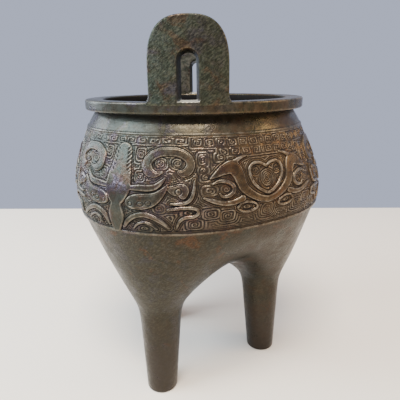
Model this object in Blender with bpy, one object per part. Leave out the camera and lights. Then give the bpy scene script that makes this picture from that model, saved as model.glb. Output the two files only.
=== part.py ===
"""A bronze ding: a three-lobed bowl on three legs, with two upright ears and a band of masks in relief.

Metres, +Z up. The feet stand on z = 0, and the box around the vessel is centred on the Z axis.
Angles are measured round the Z axis from the middle of a lobe, unless a comment says azimuth,
which is 0 at the front (-Y) and grows towards +X.
"""

import math

import bmesh
import bpy
from mathutils import Matrix, Vector
from mathutils.geometry import delaunay_2d_cdt

# Heights, stacked from the ground up
LEG_HEIGHT = 0.0715
LOBE_HEIGHT = 0.0710
BAND_HEIGHT = 0.0573
NECK_HEIGHT = 0.0122
RIM_THICKNESS = 0.0070
EAR_HEIGHT = 0.0465

# Radii and walls
NECK_RADIUS = 0.0727
WALL = 0.0050
LIP_OVERHANG = 0.0073
SHOULDER_FLARE = 0.0069
LOBE_RADIUS = 0.0948
VALLEY_DEPTH = 0.0048
LOBE_TUCK = 0.0004
VALLEY_TUCK = 0.0038
RIM_EDGE_ROUND = 0.0012

# Underside and legs
LOBE_COUNT = 3
LEG_AZIMUTH = math.radians(-28)
FLANK_BLEND = 0.0097
CAVITY_DEPTH = 0.0560
CAVITY_ROUND = 0.0040
FOOT_CIRCLE_RADIUS = 0.0565
LEG_SPLAY = 0.0020
LEG_TOP_RADIUS = 0.0160
FOOT_RADIUS = 0.0115
FOOT_ROUND = 0.0016

# Fillets above and below the band
BEAD_WIDTH = 0.0015
BEAD_RISE = 0.0006
FILLET_WIDTH = 0.0019
FILLET_RISE = 0.0009
LEDGE_DEPTH = 0.0012

# Masks in relief
RELIEF_RISE = 0.0012
RELIEF_BEVEL = 0.0006

# Ears
EAR_WIDTH = 0.0468
EAR_THICKNESS = 0.0100
EAR_SHOULDER_HEIGHT = 0.0290
EAR_SQUARENESS = 2.75
EAR_EDGE_ROUND = 0.0008
EAR_PROUD = 0.00025
EAR_FOOT_RISE = 0.0010
SLOT_WIDTH = 0.0125
SLOT_HEIGHT = 0.0290
SLOT_DRAFT = 0.0018
SILL_DROP = 0.0008

# Fineness of the mesh
LOBE_STEPS = 16
SEAM_STEPS = 6
FLANK_STEPS = 7
CAVITY_STEPS = 5
BAND_STEPS = 8
EAR_STEPS = 14
SLOT_STEPS = 10
OUTLINE_STEP = 0.0046
GROUND_STEP = 0.0110
GROUND_GAP = GROUND_STEP / 3
HALVINGS = 30
MERGE_DISTANCE = 0.00001

# Heights and radii that follow from the sizes above
BAND_BOTTOM = LEG_HEIGHT + LOBE_HEIGHT
BAND_TOP = BAND_BOTTOM + BAND_HEIGHT
NECK_TOP = BAND_TOP + NECK_HEIGHT
RIM_TOP = NECK_TOP + RIM_THICKNESS
EAR_TOP = RIM_TOP + EAR_HEIGHT
RIM_RADIUS = NECK_RADIUS + LIP_OVERHANG
MOUTH_RADIUS = NECK_RADIUS - WALL
SHOULDER_RADIUS = NECK_RADIUS + SHOULDER_FLARE
VALLEY_RADIUS = LOBE_RADIUS - VALLEY_DEPTH
LEG_CIRCLE_RADIUS = FOOT_CIRCLE_RADIUS - LEG_SPLAY
LEG_TAPER = (LEG_TOP_RADIUS - FOOT_RADIUS) / LEG_HEIGHT
CAVITY_FLOOR = BAND_BOTTOM - CAVITY_DEPTH
HALF_LOBE = math.pi / LOBE_COUNT
BAND_RADIUS = (SHOULDER_RADIUS + LOBE_RADIUS) / 2

# Slopes of the outside, in radius gained for each unit of height
NECK_SLOPE = -0.55
SHOULDER_SLOPE = -0.38
UNDERCUT_SLOPE = 0.222
LOBE_BELLY = 0.215
VALLEY_BELLY = 0.305

# How a lobe's circle leaves the leg and reaches the band, as gains for each unit of height
REACH_SLOPES = (0.446, 0.265)
MIDDLE_SLOPES = (-0.050, 0.030)
LEG_SOFTNESS = 0.05

# How far a lobe reaches under the band, and the offset of its circle that fits the valley there
FLANK_REACH = LOBE_RADIUS - LOBE_TUCK - LEDGE_DEPTH
FLANK_VALLEY = VALLEY_RADIUS - VALLEY_TUCK - LEDGE_DEPTH
FLANK_SUM = FLANK_REACH + FLANK_BLEND * math.log(2)
LOBE_OFFSET = (FLANK_SUM ** 2 - FLANK_VALLEY ** 2) / (2 * FLANK_SUM - FLANK_VALLEY)

# The outside from the neck down, as (height, radius, slope)
UPPER_KNOTS = [(NECK_TOP, NECK_RADIUS, NECK_SLOPE), (BAND_TOP, SHOULDER_RADIUS, SHOULDER_SLOPE)]
LOBE_KNOTS = UPPER_KNOTS + [
    (BAND_BOTTOM + LOBE_BELLY * BAND_HEIGHT, LOBE_RADIUS, 0.0),
    (BAND_BOTTOM, LOBE_RADIUS - LOBE_TUCK, UNDERCUT_SLOPE),
]
VALLEY_KNOTS = UPPER_KNOTS + [
    (BAND_BOTTOM + VALLEY_BELLY * BAND_HEIGHT, VALLEY_RADIUS, 0.0),
    (BAND_BOTTOM, VALLEY_RADIUS - VALLEY_TUCK, UNDERCUT_SLOPE),
]

# The strokes of half a mask, each through (degrees from its middle, share of the band's height,
# half width as a share of the band's height). The other half is its mirror image.
STROKES = {
    "ridge": [(0, 0.06, 0.055), (0, 0.19, 0.095), (0, 0.29, 0.070), (0, 0.35, 0.070), (0, 0.43, 0.125),
              (0, 0.51, 0.155), (0, 0.58, 0.150), (0, 0.70, 0.125), (0, 0.82, 0.110)],
    "brow": [(5.5, 0.490, 0.030), (9.5, 0.496, 0.036), (12.8, 0.498, 0.037), (15.6, 0.514, 0.033),
             (17.8, 0.560, 0.025), (19.0, 0.600, 0.012)],
    "horn": [(17.8, 0.652, 0.016), (15.0, 0.634, 0.036), (12.4, 0.662, 0.054), (11.5, 0.730, 0.057),
             (12.9, 0.797, 0.054), (16.0, 0.840, 0.049), (20.0, 0.852, 0.047), (24.5, 0.840, 0.047),
             (27.8, 0.788, 0.048), (28.7, 0.722, 0.048), (27.6, 0.668, 0.048), (25.8, 0.646, 0.040),
             (24.4, 0.655, 0.026)],
    "eye": [(20.6, 0.500, 0.026), (22.8, 0.484, 0.054), (25.6, 0.484, 0.066), (25.8, 0.440, 0.046)],
    "lid": [(30.2, 0.575, 0.012), (29.8, 0.480, 0.021), (28.6, 0.395, 0.022), (26.0, 0.355, 0.021),
            (21.5, 0.350, 0.016)],
    "cheek": [(5.6, 0.342, 0.048), (7.4, 0.352, 0.076), (10.5, 0.360, 0.083), (13.6, 0.377, 0.074),
              (16.3, 0.415, 0.054), (18.6, 0.475, 0.034), (20.2, 0.535, 0.014)],
    "jaw": [(3.4, 0.080, 0.020), (5.2, 0.155, 0.030), (8.0, 0.208, 0.031), (11.5, 0.228, 0.031),
            (15.0, 0.202, 0.030), (18.0, 0.155, 0.027), (20.6, 0.095, 0.018)],
    "chin": [(7.4, 0.075, 0.014), (9.0, 0.125, 0.018), (11.5, 0.145, 0.018), (14.2, 0.125, 0.018),
             (16.2, 0.080, 0.014)],
    "hook": [(20.5, 0.290, 0.018), (24.0, 0.305, 0.021), (28.5, 0.308, 0.021), (31.0, 0.288, 0.021),
             (31.2, 0.245, 0.021), (29.4, 0.215, 0.021), (26.4, 0.205, 0.021), (24.4, 0.165, 0.020),
             (23.4, 0.095, 0.014)],
    "curl": [(36.6, 0.535, 0.012), (39.4, 0.560, 0.022), (42.4, 0.552, 0.024), (44.6, 0.515, 0.025),
             (45.0, 0.460, 0.025), (43.2, 0.415, 0.024), (40.4, 0.408, 0.018), (39.4, 0.440, 0.012)],
    "belly": [(33.4, 0.400, 0.012), (36.5, 0.372, 0.026), (40.5, 0.340, 0.028), (44.5, 0.340, 0.032),
              (48.5, 0.372, 0.036)],
    "body": [(36.0, 0.590, 0.012), (38.5, 0.630, 0.036), (41.5, 0.672, 0.056), (45.0, 0.690, 0.072),
             (47.0, 0.625, 0.068), (48.0, 0.545, 0.058), (49.4, 0.470, 0.052), (52.2, 0.405, 0.045),
             (56.0, 0.350, 0.040), (60.0, 0.325, 0.038)],
    "plume": [(45.5, 0.735, 0.030), (48.6, 0.775, 0.020), (51.6, 0.795, 0.010)],
    "heart": [(60.0, 0.672, 0.018), (57.4, 0.708, 0.019), (54.4, 0.712, 0.020), (52.3, 0.672, 0.020),
              (52.0, 0.610, 0.020), (53.2, 0.525, 0.020), (55.6, 0.455, 0.020), (58.8, 0.405, 0.020),
              (60.0, 0.396, 0.020)],
    "loop": [(46.4, 0.282, 0.016), (48.0, 0.322, 0.016), (51.2, 0.328, 0.016), (54.4, 0.292, 0.016),
             (54.4, 0.250, 0.016), (51.6, 0.224, 0.016), (48.6, 0.230, 0.016), (46.5, 0.264, 0.012)],
}

BRONZE_COLOUR = (0.120, 0.105, 0.075)
BRONZE_ROUGHNESS = 0.42
BRONZE_METALLIC = 0.85


def hermite(start, start_pull, end, end_pull, share):
    """A cubic from start to end that leaves and arrives with the two pulls."""
    square, cube = share ** 2, share ** 3
    return (
        (2 * cube - 3 * square + 1) * start
        + (cube - 2 * square + share) * start_pull
        + (3 * square - 2 * cube) * end
        + (cube - square) * end_pull
    )


def profile(knots, height):
    """The radius at a height, on the smooth curve through the knots, which run downwards."""
    pairs = list(zip(knots, knots[1:]))
    upper, lower = next((pair for pair in pairs if height >= pair[1][0]), pairs[-1])
    fall = lower[0] - upper[0]
    return hermite(upper[1], upper[2] * fall, lower[1], lower[2] * fall, (height - upper[0]) / fall)


def lobe_share(angle):
    """1 in the middle of a lobe and 0 in the valley between two."""
    return 0.5 + 0.5 * math.cos(LOBE_COUNT * angle)


def bowl_radius(angle, height):
    """The radius of the bowl's outside, without its relief."""
    share = lobe_share(angle)
    return share * profile(LOBE_KNOTS, height) + (1 - share) * profile(VALLEY_KNOTS, height)


def polar(radius, angle, height):
    return Vector((radius * math.cos(angle), radius * math.sin(angle), height))


def raised_point(angle, height, rise):
    """A point that stands off the bowl's outside by rise, square to its profile."""
    probe = 0.0001
    slope = (bowl_radius(angle, height + probe) - bowl_radius(angle, height - probe)) / (2 * probe)
    length = math.hypot(1, slope)
    radius = bowl_radius(angle, height) + rise / length
    return polar(radius, angle, height - rise * slope / length)


# The relief, drawn on the band laid flat: x along the arc, y up from the band's lower edge


def smooth_path(knots, step):
    """Points with half widths along a smooth curve through the knots, about a step apart."""
    path = []
    padded = [2 * knots[0] - knots[1]] + knots + [2 * knots[-1] - knots[-2]]
    for before, start, end, after in zip(padded, padded[1:], padded[2:], padded[3:]):
        count = max(1, round((end - start).xy.length / step))
        for index in range(count):
            path.append(hermite(start, (end - before) / 2, end, (after - start) / 2, index / count))
    return path + [knots[-1]]


def stroke_path(name, step=OUTLINE_STEP):
    """A stroke's centre line on the flat band, each point with its half width as a third number."""
    knots = [
        Vector((math.radians(angle) * BAND_RADIUS, share * BAND_HEIGHT, half * BAND_HEIGHT))
        for angle, share, half in STROKES[name]
    ]
    return smooth_path(knots, step)


def side_points(path, inset):
    """The closed outline round a centre line, drawn in from the stroke's edge by the inset."""
    left, right = [], []
    for index, point in enumerate(path):
        ahead = path[min(index + 1, len(path) - 1)] - path[max(index - 1, 0)]
        across = Vector((-ahead.y, ahead.x)).normalized() * (point.z - inset)
        left.append(point.xy + across)
        right.append(point.xy - across)
    return left + right[::-1]


def stroke_rise(place, path):
    """How far a stroke lifts the band at a place: its whole rise inside, none past its edge."""
    best = 0.0
    for start, end in zip(path, path[1:]):
        run = (end - start).xy
        along = min(1.0, max(0.0, (place - start.xy).dot(run) / run.length_squared))
        middle = start.lerp(end, along)
        inside = middle.z - (place - middle.xy).length
        best = max(best, min(1.0, inside / min(RELIEF_BEVEL, middle.z)))
    return best * RELIEF_RISE


def band_rise(place, paths):
    """The band's rise at a place: the fillet along its foot, and the highest stroke there."""
    fillet = (FILLET_WIDTH + RELIEF_BEVEL - place.y) / RELIEF_BEVEL
    strokes = max(stroke_rise(place, path) for path in paths)
    return max(strokes, min(1.0, max(0.0, fillet)) * FILLET_RISE)


class Drawing:
    """Points and lines on a plane, to be filled with triangles."""

    def __init__(self):
        self.points = []
        self.lines = []

    def draw(self, points, closed=False):
        first = len(self.points)
        self.points += [Vector(point) for point in points]
        last = len(self.points)
        self.lines += [(index, index + 1) for index in range(first, last - 1)]
        if closed:
            self.lines.append((last - 1, first))

    def fill(self):
        result = delaunay_2d_cdt(self.points, self.lines, [], 0, MERGE_DISTANCE)
        return result[0], result[2]


def ring_angles(count=LOBE_STEPS):
    """The angles across one lobe, from valley to valley."""
    return [HALF_LOBE * (2 * index / count - 1) for index in range(count + 1)]


def relief_patch():
    """Half a mask on the flat band: the places of its corners, and its triangles."""
    drawing = Drawing()
    width, height = HALF_LOBE * BAND_RADIUS, BAND_HEIGHT
    stations = [angle * BAND_RADIUS for angle in ring_angles() if angle > -MERGE_DISTANCE]
    levels = [height * index / BAND_STEPS for index in range(BAND_STEPS + 1)]
    edge = [(x, 0.0) for x in stations[:-1]] + [(width, y) for y in levels[:-1]]
    edge += [(x, height) for x in stations[:0:-1]] + [(0.0, y) for y in levels[:0:-1]]
    drawing.draw(edge, closed=True)
    for y in (FILLET_WIDTH, FILLET_WIDTH + RELIEF_BEVEL):
        drawing.draw([(x, y) for x in stations])
    paths = [stroke_path(name) for name in STROKES]
    for path in paths:
        drawing.draw(side_points(path, 0.0), closed=True)
        if max(point.z for point in path) > 2 * RELIEF_BEVEL:
            drawing.draw(side_points(path, RELIEF_BEVEL), closed=True)
        else:
            drawing.draw([point.xy for point in path])
    drawn = list(drawing.points)
    for column in range(1, round(width / GROUND_STEP)):
        for row in range(1, round(height / GROUND_STEP)):
            spot = Vector((column * GROUND_STEP, row * GROUND_STEP))
            if min((spot - point).length for point in drawn) > GROUND_GAP:
                drawing.points.append(spot)
    places, triangles = drawing.fill()
    slack = 0.01 * RELIEF_BEVEL

    def inside(triangle):
        middle = sum((places[index] for index in triangle), Vector((0, 0))) / 3
        return -slack < middle.x < width + slack and -slack < middle.y < height + slack

    def settled(place):
        x = 0.0 if abs(place.x) < slack else width if abs(place.x - width) < slack else place.x
        return Vector((x, min(height, max(0.0, place.y))))

    kept = [triangle for triangle in triangles if inside(triangle)]
    return [settled(place) for place in places], kept, paths


def add_relief(mesh):
    """The band of one lobe: half a mask and its mirror image."""
    places, triangles, paths = relief_patch()
    used = sorted({index for triangle in triangles for index in triangle})
    for side in (1, -1):
        corners = {}
        for index in used:
            place = places[index]
            angle = side * place.x / BAND_RADIUS
            point = raised_point(angle, BAND_BOTTOM + place.y, band_rise(place, paths))
            corners[index] = mesh.verts.new(point)
        for triangle in triangles:
            mesh.faces.new([corners[index] for index in triangle[::side]])


# The plain surfaces


def loft(mesh, rows, closed=False):
    """Quads between rows of points, each row joined to the next."""
    made = [[mesh.verts.new(point) for point in row] for row in rows]
    for upper, lower in zip(made, made[1:]):
        count = len(upper)
        for index in range(count if closed else count - 1):
            following = (index + 1) % count
            corners = (upper[index], upper[following], lower[following], lower[index])
            mesh.faces.new(corners)
    return made[-1]


def add_neck_and_rim(mesh):
    """The bead, the neck, the flat rim and the inside of the bowl down to the band's foot."""
    angles = ring_angles()
    bead = [(BAND_TOP, 0.0), (BAND_TOP + BEAD_RISE / 3, BEAD_RISE), (BAND_TOP + BEAD_WIDTH, BEAD_RISE)]
    rows = [[raised_point(angle, height, rise) for angle in angles] for height, rise in bead]
    neck_foot = BAND_TOP + BEAD_WIDTH + BEAD_RISE
    for share in (0.0, 0.5, 1.0):
        height = neck_foot + share * (NECK_TOP - BEAD_RISE - neck_foot)
        rows.append([polar(bowl_radius(angle, height), angle, height) for angle in angles])
    plain = [
        (NECK_RADIUS + BEAD_RISE, NECK_TOP),
        (RIM_RADIUS - RIM_EDGE_ROUND, NECK_TOP),
        (RIM_RADIUS, NECK_TOP + RIM_EDGE_ROUND),
        (RIM_RADIUS, RIM_TOP - RIM_EDGE_ROUND),
        (RIM_RADIUS - RIM_EDGE_ROUND, RIM_TOP),
        (MOUTH_RADIUS + RIM_EDGE_ROUND, RIM_TOP),
        (MOUTH_RADIUS, RIM_TOP - RIM_EDGE_ROUND),
        (MOUTH_RADIUS, NECK_TOP),
    ]
    rows += [[polar(radius, angle, height) for angle in angles] for radius, height in plain]
    for share in (1.0, 0.6, 0.3):
        height = BAND_BOTTOM + share * BAND_HEIGHT
        rows.append([polar(bowl_radius(angle, height) - WALL, angle, height) for angle in angles])
    rows.append(rim_line(cavity))
    loft(mesh, rows)


# The underside: at each level three circles, one for each lobe, that shrink towards the legs


def leg_middle(height):
    """How far a leg's axis, drawn on upwards, stands from the vessel's."""
    return FOOT_CIRCLE_RADIUS - LEG_SPLAY * height / LEG_HEIGHT


def leg_radius(height):
    return FOOT_RADIUS + LEG_TAPER * height


def lobe_circle(height):
    """The middle and radius of a lobe's circle at a height. Below the lobe it is the leg itself."""
    left = (height - LEG_HEIGHT) / LOBE_HEIGHT
    swell = LEG_SOFTNESS * math.log1p(math.exp(left / LEG_SOFTNESS))
    middle_gain = LOBE_OFFSET - leg_middle(BAND_BOTTOM)
    reach_gain = FLANK_REACH - leg_middle(BAND_BOTTOM) - leg_radius(BAND_BOTTOM)
    leave, arrive = (slope * LOBE_HEIGHT for slope in MIDDLE_SLOPES)
    moved = hermite(0.0, leave, middle_gain, arrive, swell)
    leave, arrive = (slope * LOBE_HEIGHT for slope in REACH_SLOPES)
    grown = hermite(0.0, leave, reach_gain, arrive, swell)
    return leg_middle(height) + moved, leg_radius(height) + grown - moved


def underside(point):
    """Below 0 inside the blended circles and above 0 outside, about the distance to their edge."""
    middle, radius = lobe_circle(point.z)
    total = 0.0
    for index in range(LOBE_COUNT):
        turn = 2 * HALF_LOBE * index
        away = math.hypot(point.x - middle * math.cos(turn), point.y - middle * math.sin(turn))
        total += math.exp((radius - away) / FLANK_BLEND)
    return -FLANK_BLEND * math.log(total)


def cavity(point):
    """The same for the hollow inside: a wall's thickness in, and rounded off over a floor."""
    probe = Vector((0.0, 0.0, 0.0005))
    steepness = (underside(point + probe) - underside(point - probe)) / (2 * probe.z)
    wall = underside(point) / math.hypot(1, steepness) + WALL
    floor = CAVITY_FLOOR - point.z
    rise = max(wall, floor)
    return rise + CAVITY_ROUND * math.log1p(math.exp((min(wall, floor) - rise) / CAVITY_ROUND))


def crossing(field, inside, outside):
    """The point between two others where a field passes through 0."""
    for _ in range(HALVINGS):
        middle = (inside + outside) / 2
        if field(middle) < 0:
            inside = middle
        else:
            outside = middle
    return (inside + outside) / 2


def surface_line(field, start, end, steps):
    """Points on a surface in the upright plane through two of its points, spread along their chord."""
    run = end - start
    across = Vector((run.x, run.y, 0.0))
    square = (across.normalized() * run.z - Vector((0, 0, across.length))) / 2
    line = [start]
    for index in range(1, steps):
        middle = start.lerp(end, index / steps)
        line.append(crossing(field, middle - square, middle + square))
    return line + [end]


def rim_line(field):
    """A surface's edge round one lobe, at the foot of the band."""
    points = []
    for angle in ring_angles():
        middle = Vector((0.0, 0.0, BAND_BOTTOM))
        points.append(crossing(field, middle, polar(2 * LOBE_RADIUS, angle, BAND_BOTTOM)))
    return points


def lobe_edge(field):
    """The closed edge of one lobe: round the band's foot, then in and out along its two seams."""
    edge = rim_line(field)
    low = Vector((0.0, 0.0, 0.0))
    high = Vector((0.0, 0.0, BAND_BOTTOM))
    seam = surface_line(field, edge[-1], crossing(field, high, low), SEAM_STEPS)
    back = [Vector((point.x, -point.y, point.z)) for point in seam[-2:0:-1]]
    return edge + seam[1:] + back


def add_flank_and_leg(mesh):
    """The underside of one lobe, drawn in to its leg, and the leg down to its flat foot."""
    edge = lobe_edge(underside)
    turns = [math.atan2(point.y, point.x - LEG_CIRCLE_RADIUS) for point in edge]

    def leg_ring(height, draw_in=0.0):
        middle = Vector((leg_middle(height), 0.0, height))
        reach = 2 * LEG_TOP_RADIUS
        ring = []
        for turn in turns:
            outward = Vector((math.cos(turn), math.sin(turn), 0.0))
            ring.append(crossing(underside, middle, middle + outward * reach) - outward * draw_in)
        return ring

    top = leg_ring(LEG_HEIGHT)
    lines = [surface_line(underside, start, end, FLANK_STEPS) for start, end in zip(edge, top)]
    rows = [list(row) for row in zip(*lines)]
    rows.append(leg_ring(LEG_HEIGHT - 2 * LEG_SOFTNESS * LOBE_HEIGHT))
    for turn in (0.0, math.pi / 4, math.pi / 2):
        rows.append(leg_ring(FOOT_ROUND * (1 - math.sin(turn)), FOOT_ROUND * (1 - math.cos(turn))))
    foot = loft(mesh, rows, closed=True)
    mesh.faces.new(foot)


def add_ledge(mesh):
    """The small step in below the band."""
    angles = ring_angles()
    edge = [raised_point(angle, BAND_BOTTOM, FILLET_RISE) for angle in angles]
    loft(mesh, [edge, rim_line(underside)])


def add_cavity(mesh):
    """The inside of one lobe below the band, closed in a round hollow over the leg."""
    axis = Vector((LEG_CIRCLE_RADIUS, 0.0, 0.0))
    pole = crossing(cavity, axis + Vector((0, 0, BAND_BOTTOM)), axis)
    lines = [surface_line(cavity, start, pole, CAVITY_STEPS) for start in lobe_edge(cavity)]
    ring = loft(mesh, list(zip(*lines))[:-1], closed=True)
    middle = mesh.verts.new(pole)
    for index, corner in enumerate(ring):
        mesh.faces.new((corner, ring[(index + 1) % len(ring)], middle))


def bowl_mesh():
    """The bowl, its rim and legs as one closed surface, one lobe turned into three."""
    mesh = bmesh.new()
    add_relief(mesh)
    add_ledge(mesh)
    add_neck_and_rim(mesh)
    add_flank_and_leg(mesh)
    add_cavity(mesh)
    lobe = mesh.verts[:] + mesh.edges[:] + mesh.faces[:]
    for turn in range(1, LOBE_COUNT):
        copy = bmesh.ops.duplicate(mesh, geom=lobe)["geom"]
        corners = [item for item in copy if isinstance(item, bmesh.types.BMVert)]
        bmesh.ops.rotate(mesh, verts=corners, matrix=Matrix.Rotation(2 * HALF_LOBE * turn, 3, "Z"))
    facing = LEG_AZIMUTH - math.pi / 2
    bmesh.ops.rotate(mesh, verts=mesh.verts, matrix=Matrix.Rotation(facing, 3, "Z"))
    bmesh.ops.remove_doubles(mesh, verts=mesh.verts, dist=MERGE_DISTANCE)
    bmesh.ops.dissolve_degenerate(mesh, edges=mesh.edges, dist=MERGE_DISTANCE)
    bmesh.ops.recalc_face_normals(mesh, faces=mesh.faces)
    return mesh


# The ears


def ear_outline(inset):
    """One ear seen from the front: straight sides under a squared arch."""
    half = EAR_WIDTH / 2 - inset
    foot = NECK_TOP + EAR_FOOT_RISE
    shoulder = EAR_TOP - EAR_SHOULDER_HEIGHT
    sweep = EAR_SHOULDER_HEIGHT - inset
    points = [Vector((half, foot)), Vector((half, (foot + shoulder) / 2))]
    for index in range(EAR_STEPS + 1):
        turn = math.pi * index / EAR_STEPS
        across = math.copysign(abs(math.cos(turn)) ** (2 / EAR_SQUARENESS), math.cos(turn))
        up = math.sin(turn) ** (2 / EAR_SQUARENESS)
        points.append(Vector((half * across, shoulder + sweep * up)))
    points.append(Vector((-half, (foot + shoulder) / 2)))
    return points + [Vector((half * share, foot)) for share in (-1.0, -0.5, 0.0, 0.5)]


def bent(point, radius, side):
    """A point of the ear's outline, laid on an upright cylinder of this radius."""
    return Vector((point.x, side * math.sqrt(radius ** 2 - point.x ** 2), point.y))


def add_bent_face(mesh, outline, radius, side):
    """The filled outline, bent round the cylinder."""
    drawing = Drawing()
    drawing.draw(outline, closed=True)
    for column in (-0.25, 0.0, 0.25):
        for row in (0.2, 0.4, 0.6, 0.8):
            height = NECK_TOP + row * (EAR_TOP - NECK_TOP)
            drawing.points.append(Vector((column * EAR_WIDTH, height)))
    places, triangles = drawing.fill()
    corners = [mesh.verts.new(bent(place, radius, side)) for place in places]
    for triangle in triangles:
        mesh.faces.new([corners[index] for index in triangle])


def ear_mesh(side):
    """One ear, upright on the rim and bent with it. Side is -1 at the front and 1 at the back."""
    mesh = bmesh.new()
    outer = RIM_RADIUS + EAR_PROUD
    inner = RIM_RADIUS - EAR_THICKNESS
    layers = [
        (ear_outline(EAR_EDGE_ROUND), outer),
        (ear_outline(0.0), outer - EAR_EDGE_ROUND),
        (ear_outline(0.0), inner + EAR_EDGE_ROUND),
        (ear_outline(EAR_EDGE_ROUND), inner),
    ]
    rows = [[bent(point, radius, side) for point in outline] for outline, radius in layers]
    loft(mesh, rows, closed=True)
    for outline, radius in (layers[0], layers[-1]):
        add_bent_face(mesh, outline, radius, side)
    bmesh.ops.remove_doubles(mesh, verts=mesh.verts, dist=MERGE_DISTANCE)
    bmesh.ops.recalc_face_normals(mesh, faces=mesh.faces)
    return mesh


def slot_outline(draft):
    """The arched slot, drawn in by the draft."""
    half = SLOT_WIDTH / 2 - draft
    top = RIM_TOP + SLOT_HEIGHT - draft
    sill = RIM_TOP - SILL_DROP + draft
    points = [Vector((half, sill))]
    for index in range(SLOT_STEPS + 1):
        turn = math.pi * index / SLOT_STEPS
        points.append(Vector((half * math.cos(turn), top - half + half * math.sin(turn))))
    return points + [Vector((-half, sill))]


def slot_mesh(side):
    """The cutter of one ear's slot. It narrows towards +Y on both ears."""
    mesh = bmesh.new()
    middle = side * (RIM_RADIUS - EAR_THICKNESS / 2)
    reach = EAR_THICKNESS
    steepness = SLOT_DRAFT / EAR_THICKNESS
    rows = []
    for offset in (-reach, reach):
        outline = slot_outline(steepness * (offset + EAR_THICKNESS / 2))
        rows.append([Vector((point.x, middle + offset, point.y)) for point in outline])
    far = loft(mesh, rows, closed=True)
    near = [mesh.verts.new(point) for point in rows[0]]
    mesh.faces.new(far)
    mesh.faces.new(near)
    bmesh.ops.remove_doubles(mesh, verts=mesh.verts, dist=MERGE_DISTANCE)
    bmesh.ops.recalc_face_normals(mesh, faces=mesh.faces)
    return mesh


# The objects


def bronze_material():
    material = bpy.data.materials.new("patinated_bronze")
    material.use_nodes = True
    shader = material.node_tree.nodes["Principled BSDF"]
    shader.inputs["Base Color"].default_value = (*BRONZE_COLOUR, 1.0)
    shader.inputs["Roughness"].default_value = BRONZE_ROUGHNESS
    shader.inputs["Metallic"].default_value = BRONZE_METALLIC
    return material


def add_object(name, shape):
    """An object of this name from a bmesh, linked to the scene."""
    data = bpy.data.meshes.new(name)
    shape.to_mesh(data)
    shape.free()
    piece = bpy.data.objects.new(name, data)
    bpy.context.collection.objects.link(piece)
    return piece


def join(body, name, shape, operation):
    """Join a shape to the body, or cut it out, with a Boolean modifier."""
    tool = add_object(name, shape)
    tool.hide_render = True
    tool.display_type = "WIRE"
    modifier = body.modifiers.new(name, "BOOLEAN")
    modifier.operation = operation
    modifier.solver = "EXACT"
    modifier.object = tool
    return tool


def centre_box(pieces):
    """Move the pieces together, so that the box round them is centred on the Z axis."""
    corners = [corner.co for piece in pieces for corner in piece.data.vertices]
    for axis in (0, 1):
        values = [corner[axis] for corner in corners]
        for piece in pieces:
            piece.location[axis] = -(min(values) + max(values)) / 2


def build():
    for item in list(bpy.data.objects):
        bpy.data.objects.remove(item, do_unlink=True)
    body = add_object("ding_vessel", bowl_mesh())
    body.data.materials.append(bronze_material())
    body.data.shade_smooth()
    body.data.set_sharp_from_angle(angle=math.radians(40))
    sides = (("front", -1), ("back", 1))
    ears = [join(body, f"{name}_ear", ear_mesh(side), "UNION") for name, side in sides]
    slots = [join(body, f"{name}_slot", slot_mesh(side), "DIFFERENCE") for name, side in sides]
    centre_box([body] + ears)
    for slot in slots:
        slot.location = body.location


build()
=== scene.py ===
"""The looks of the bronze ding: its masks cut in full relief, its patina, and the photograph's view.

Metres, +Z up, in the frame of the solid. Angles are measured from the middle of a lobe,
azimuths from the front (-Y) towards +X.
"""
import math

import bmesh
import bpy
import numpy as np
from mathutils import Matrix, Vector
from mathutils.geometry import delaunay_2d_cdt


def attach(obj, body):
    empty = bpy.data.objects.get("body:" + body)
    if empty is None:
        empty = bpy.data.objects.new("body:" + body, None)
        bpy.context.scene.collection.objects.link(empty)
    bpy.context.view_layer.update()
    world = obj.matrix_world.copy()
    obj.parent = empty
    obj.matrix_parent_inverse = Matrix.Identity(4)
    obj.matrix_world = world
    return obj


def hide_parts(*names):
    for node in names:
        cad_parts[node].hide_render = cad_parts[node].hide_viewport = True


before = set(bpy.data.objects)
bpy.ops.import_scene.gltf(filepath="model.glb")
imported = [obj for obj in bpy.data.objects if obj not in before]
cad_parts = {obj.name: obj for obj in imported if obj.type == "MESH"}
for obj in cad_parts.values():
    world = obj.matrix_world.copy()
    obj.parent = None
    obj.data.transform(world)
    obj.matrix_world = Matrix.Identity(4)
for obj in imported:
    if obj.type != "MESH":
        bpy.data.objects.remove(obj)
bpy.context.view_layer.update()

# Sizes of the solid
LEG_HEIGHT = 0.0715
LOBE_HEIGHT = 0.0710
BAND_HEIGHT = 0.0573
NECK_HEIGHT = 0.0122
RIM_THICKNESS = 0.0070
EAR_HEIGHT = 0.0465
NECK_RADIUS = 0.0727
WALL = 0.0050
LIP_OVERHANG = 0.0073
SHOULDER_FLARE = 0.0069
LOBE_RADIUS = 0.0948
VALLEY_DEPTH = 0.0048
LOBE_TUCK = 0.0004
VALLEY_TUCK = 0.0038
RIM_EDGE_ROUND = 0.0012
LOBE_COUNT = 3
LEG_AZIMUTH = math.radians(-28)
FLANK_BLEND = 0.0097
CAVITY_DEPTH = 0.0560
CAVITY_ROUND = 0.0040
FOOT_CIRCLE_RADIUS = 0.0565
LEG_SPLAY = 0.0020
LEG_TOP_RADIUS = 0.0160
FOOT_RADIUS = 0.0115
FOOT_ROUND = 0.0016
BEAD_WIDTH = 0.0015
BEAD_RISE = 0.0006
FILLET_WIDTH = 0.0019
FILLET_RISE = 0.0009
LEDGE_DEPTH = 0.0012
RELIEF_RISE = 0.0012
EAR_WIDTH = 0.0468
EAR_THICKNESS = 0.0100
EAR_SHOULDER_HEIGHT = 0.0290
EAR_SQUARENESS = 2.75
EAR_PROUD = 0.00025
EAR_FOOT_RISE = 0.0010
SLOT_WIDTH = 0.0125
SLOT_HEIGHT = 0.0290
SLOT_DRAFT = 0.0018
SILL_DROP = 0.0008
CENTRE = (-0.002459, 0.000238)

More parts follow.
